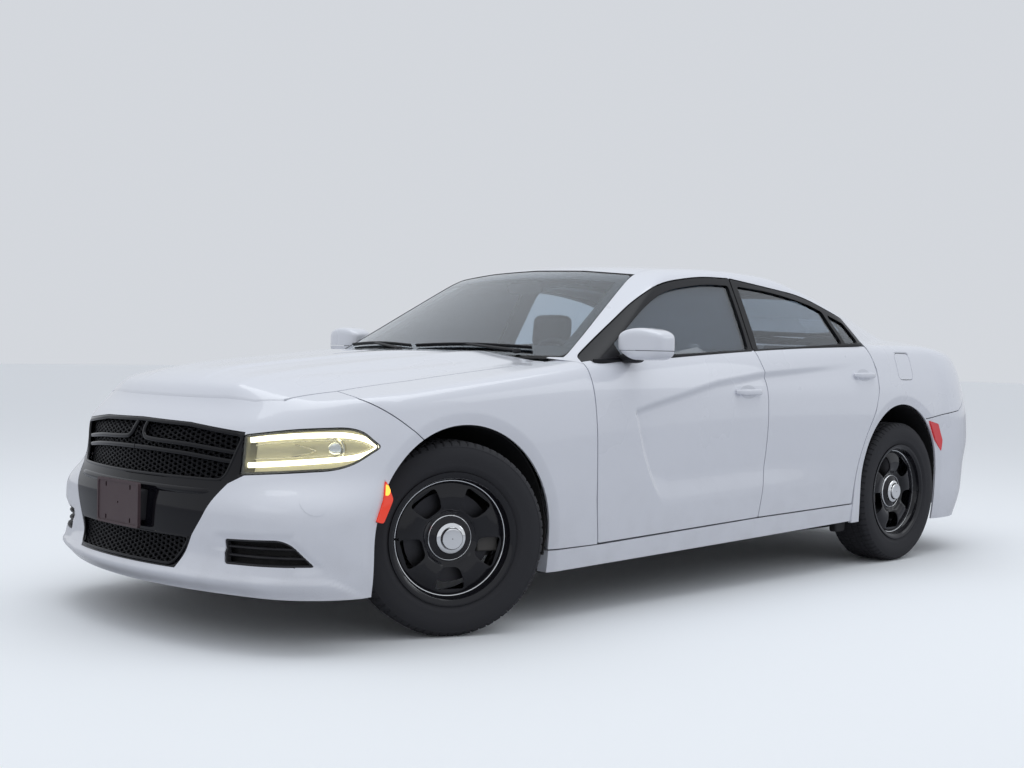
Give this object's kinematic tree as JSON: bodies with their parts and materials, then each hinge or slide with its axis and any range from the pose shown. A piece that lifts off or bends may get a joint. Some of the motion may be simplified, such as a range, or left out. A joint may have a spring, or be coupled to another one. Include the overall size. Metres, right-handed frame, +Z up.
{
  "type": "police patrol car",
  "caption": "Four-door patrol saloon with opening doors, hood and trunk lid, a furnished cabin, steered front wheels and steel wheels.",
  "frame": {"origin": "on the ground under the middle of the car's overall box", "axes": "+X forward, +Y to the car's left, +Z up"},
  "size_m": [5.04, 2.203, 1.482],
  "materials": {
    "white_paint": "gloss white paint",
    "black_plastic": "grained black plastic",
    "gloss_black": "gloss black plastic",
    "window_glass": "tinted safety glass",
    "lamp_glass": "clear lens",
    "lamp_housing": "dark lamp bowl",
    "marker_lens": "amber and red side lamps",
    "red_lens": "red lens",
    "seat_cloth": "dark woven cloth",
    "bare_steel": "dull steel",
    "cast_metal": "rough casting",
    "tyre_rubber": "black rubber",
    "wheel_steel": "black steel with a bright centre cap"
  },
  "bodies": {
    "body": {"body_side_left": "white_paint", "body_side_right": "white_paint", "roof_panel": "white_paint", "windshield": "window_glass", "rear_window": "window_glass", "cowl_panel": "black_plastic", "fenders": "white_paint", "front_bumper": "white_paint", "headlamps": "lamp_housing", "headlamp_lenses": "lamp_glass", "grille": "gloss_black", "plate_bracket": "black_plastic", "side_marker_lamps": "marker_lens", "rear_bumper": "white_paint", "tail_lamps": "red_lens", "floor_pan": "white_paint", "front_frame": "white_paint", "wheel_liners": "black_plastic", "dashboard": "black_plastic", "front_seats": "seat_cloth", "rear_bench": "seat_cloth", "parcel_shelf": "black_plastic", "engine_block": "cast_metal", "propeller_shaft": "bare_steel", "fuel_tank": "black_plastic", "exhaust": "bare_steel", "front_subframe": "bare_steel", "rear_subframe": "bare_steel", "wipers": "black_plastic"},
    "hood": {"hood": "white_paint"},
    "trunk_lid": {"trunk_lid": "white_paint", "trunk_lid_lamp": "red_lens"},
    "fuel_door": {"fuel_door": "white_paint"},
    "steering_wheel": {"steering_wheel": "black_plastic"},
    "front_door_left": {"door_front_left": "white_paint", "door_front_glass_left": "window_glass", "door_mirror_left": "white_paint"},
    "rear_door_left": {"door_rear_left": "white_paint", "door_rear_glass_left": "window_glass"},
    "front_knuckle_left": {"knuckle_left": "cast_metal"},
    "front_wheel_left": {"tyre_front_left": "tyre_rubber", "wheel_front_left": "wheel_steel"},
    "rear_wheel_left": {"tyre_rear_left": "tyre_rubber", "wheel_rear_left": "wheel_steel"},
    "front_door_right": {"door_front_right": "white_paint", "door_front_glass_right": "window_glass", "door_mirror_right": "white_paint"},
    "rear_door_right": {"door_rear_right": "white_paint", "door_rear_glass_right": "window_glass"},
    "front_knuckle_right": {"knuckle_right": "cast_metal"},
    "front_wheel_right": {"tyre_front_right": "tyre_rubber", "wheel_front_right": "wheel_steel"},
    "rear_wheel_right": {"tyre_rear_right": "tyre_rubber", "wheel_rear_right": "wheel_steel"}
  },
  "joints": [
    {"name": "hood_hinge", "type": "hinge", "parent": "body", "child": "hood", "pos_m": [0.96, 0, 1], "axis": [0, -1, 0], "range_deg": [0, 50]},
    {"name": "trunk_lid_hinge", "type": "hinge", "parent": "body", "child": "trunk_lid", "pos_m": [-1.6, 0, 1.095], "axis": [0, 1, 0], "range_deg": [0, 70]},
    {"name": "fuel_door_hinge", "type": "hinge", "parent": "body", "child": "fuel_door", "pos_m": [-1.453, 0.886, 1.013], "axis": [0, 0.279, -0.9603], "range_deg": [0, 90]},
    {"name": "steering_wheel_turn", "type": "hinge", "parent": "body", "child": "steering_wheel", "pos_m": [0.515, 0.37, 0.93], "axis": [-0.9135, 0, 0.4067], "range_deg": [-203.2, 948.8]},
    {"name": "front_door_left_hinge", "type": "hinge", "parent": "body", "child": "front_door_left", "pos_m": [0.866, 0.942, 0.6], "axis": [0, 0, -1], "range_deg": [0, 65]},
    {"name": "rear_door_left_hinge", "type": "hinge", "parent": "body", "child": "rear_door_left", "pos_m": [-0.266, 0.948, 0.6], "axis": [0, 0, -1], "range_deg": [0, 65]},
    {"name": "steer_left", "type": "hinge", "parent": "body", "child": "front_knuckle_left", "pos_m": [1.59, 0.7805, 0.36], "axis": [0, 0, 1], "range_deg": [-12.7, 59.3]},
    {"name": "front_wheel_left_spin", "type": "hinge", "parent": "front_knuckle_left", "child": "front_wheel_left", "pos_m": [1.59989, 0.80346, 0.36], "axis": [0.3956, 0.9184, 0], "continuous": true},
    {"name": "rear_wheel_left_spin", "type": "hinge", "parent": "body", "child": "rear_wheel_left", "pos_m": [-1.462, 0.81, 0.36], "axis": [0, 1, 0], "continuous": true},
    {"name": "front_door_right_hinge", "type": "hinge", "parent": "body", "child": "front_door_right", "pos_m": [0.866, -0.942, 0.6], "axis": [0, 0, 1], "range_deg": [0, 65]},
    {"name": "rear_door_right_hinge", "type": "hinge", "parent": "body", "child": "rear_door_right", "pos_m": [-0.266, -0.948, 0.6], "axis": [0, 0, 1], "range_deg": [0, 65]},
    {"name": "steer_right", "type": "hinge", "parent": "body", "child": "front_knuckle_right", "pos_m": [1.59, -0.7805, 0.36], "axis": [0, 0, 1], "range_deg": [-12.7, 59.3]},
    {"name": "front_wheel_right_spin", "type": "hinge", "parent": "front_knuckle_right", "child": "front_wheel_right", "pos_m": [1.58011, -0.80346, 0.36], "axis": [0.3956, 0.9184, 0], "continuous": true},
    {"name": "rear_wheel_right_spin", "type": "hinge", "parent": "body", "child": "rear_wheel_right", "pos_m": [-1.462, -0.81, 0.36], "axis": [0, 1, 0], "continuous": true}
  ],
  "couplings": [
    {"joint": "steer_right", "follows": "steer_left", "ratio": 1},
    {"joint": "steering_wheel_turn", "follows": "steer_left", "ratio": 16}
  ]
}
